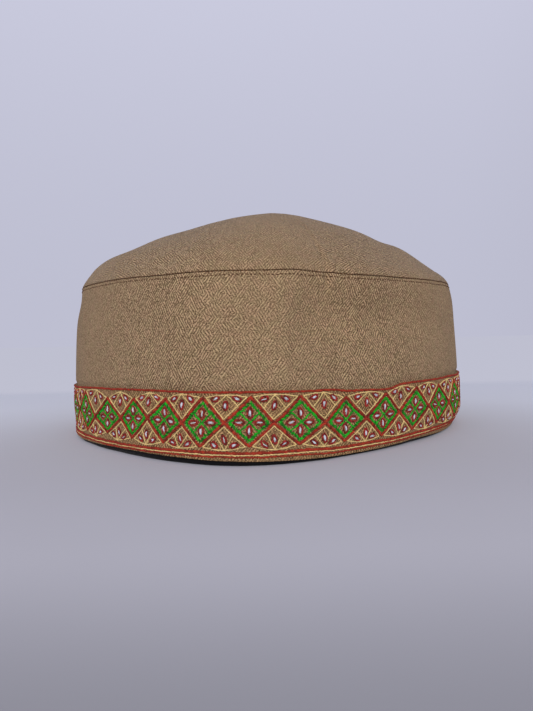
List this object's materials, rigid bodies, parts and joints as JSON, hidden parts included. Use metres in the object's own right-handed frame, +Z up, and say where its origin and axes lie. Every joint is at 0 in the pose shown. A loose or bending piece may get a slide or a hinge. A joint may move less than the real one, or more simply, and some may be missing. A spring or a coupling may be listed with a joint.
{
  "type": "kashmiri cap",
  "caption": "Round-crowned wool cap with an upright wall, an embroidered diamond border round its foot and a dark lining, open underneath for the head.",
  "frame": {"origin": "middle of the cap's plan, on the table that its hem rests on", "axes": "+Z up through the crown; -Y towards the creased front of the cap; +X to the right of someone who looks at that front"},
  "size_m": [0.186, 0.1993, 0.1005],
  "materials": {
    "wool_cloth": "tan wool twill, matt",
    "embroidered_wool": "tan wool covered with red, green, yellow and white stitching",
    "lining_cloth": "plain black cotton, matt"
  },
  "bodies": {
    "root": {"crown_panel": "wool_cloth", "side_wall": "wool_cloth", "border_band": "embroidered_wool", "lining_wall": "lining_cloth"}
  },
  "joints": []
}
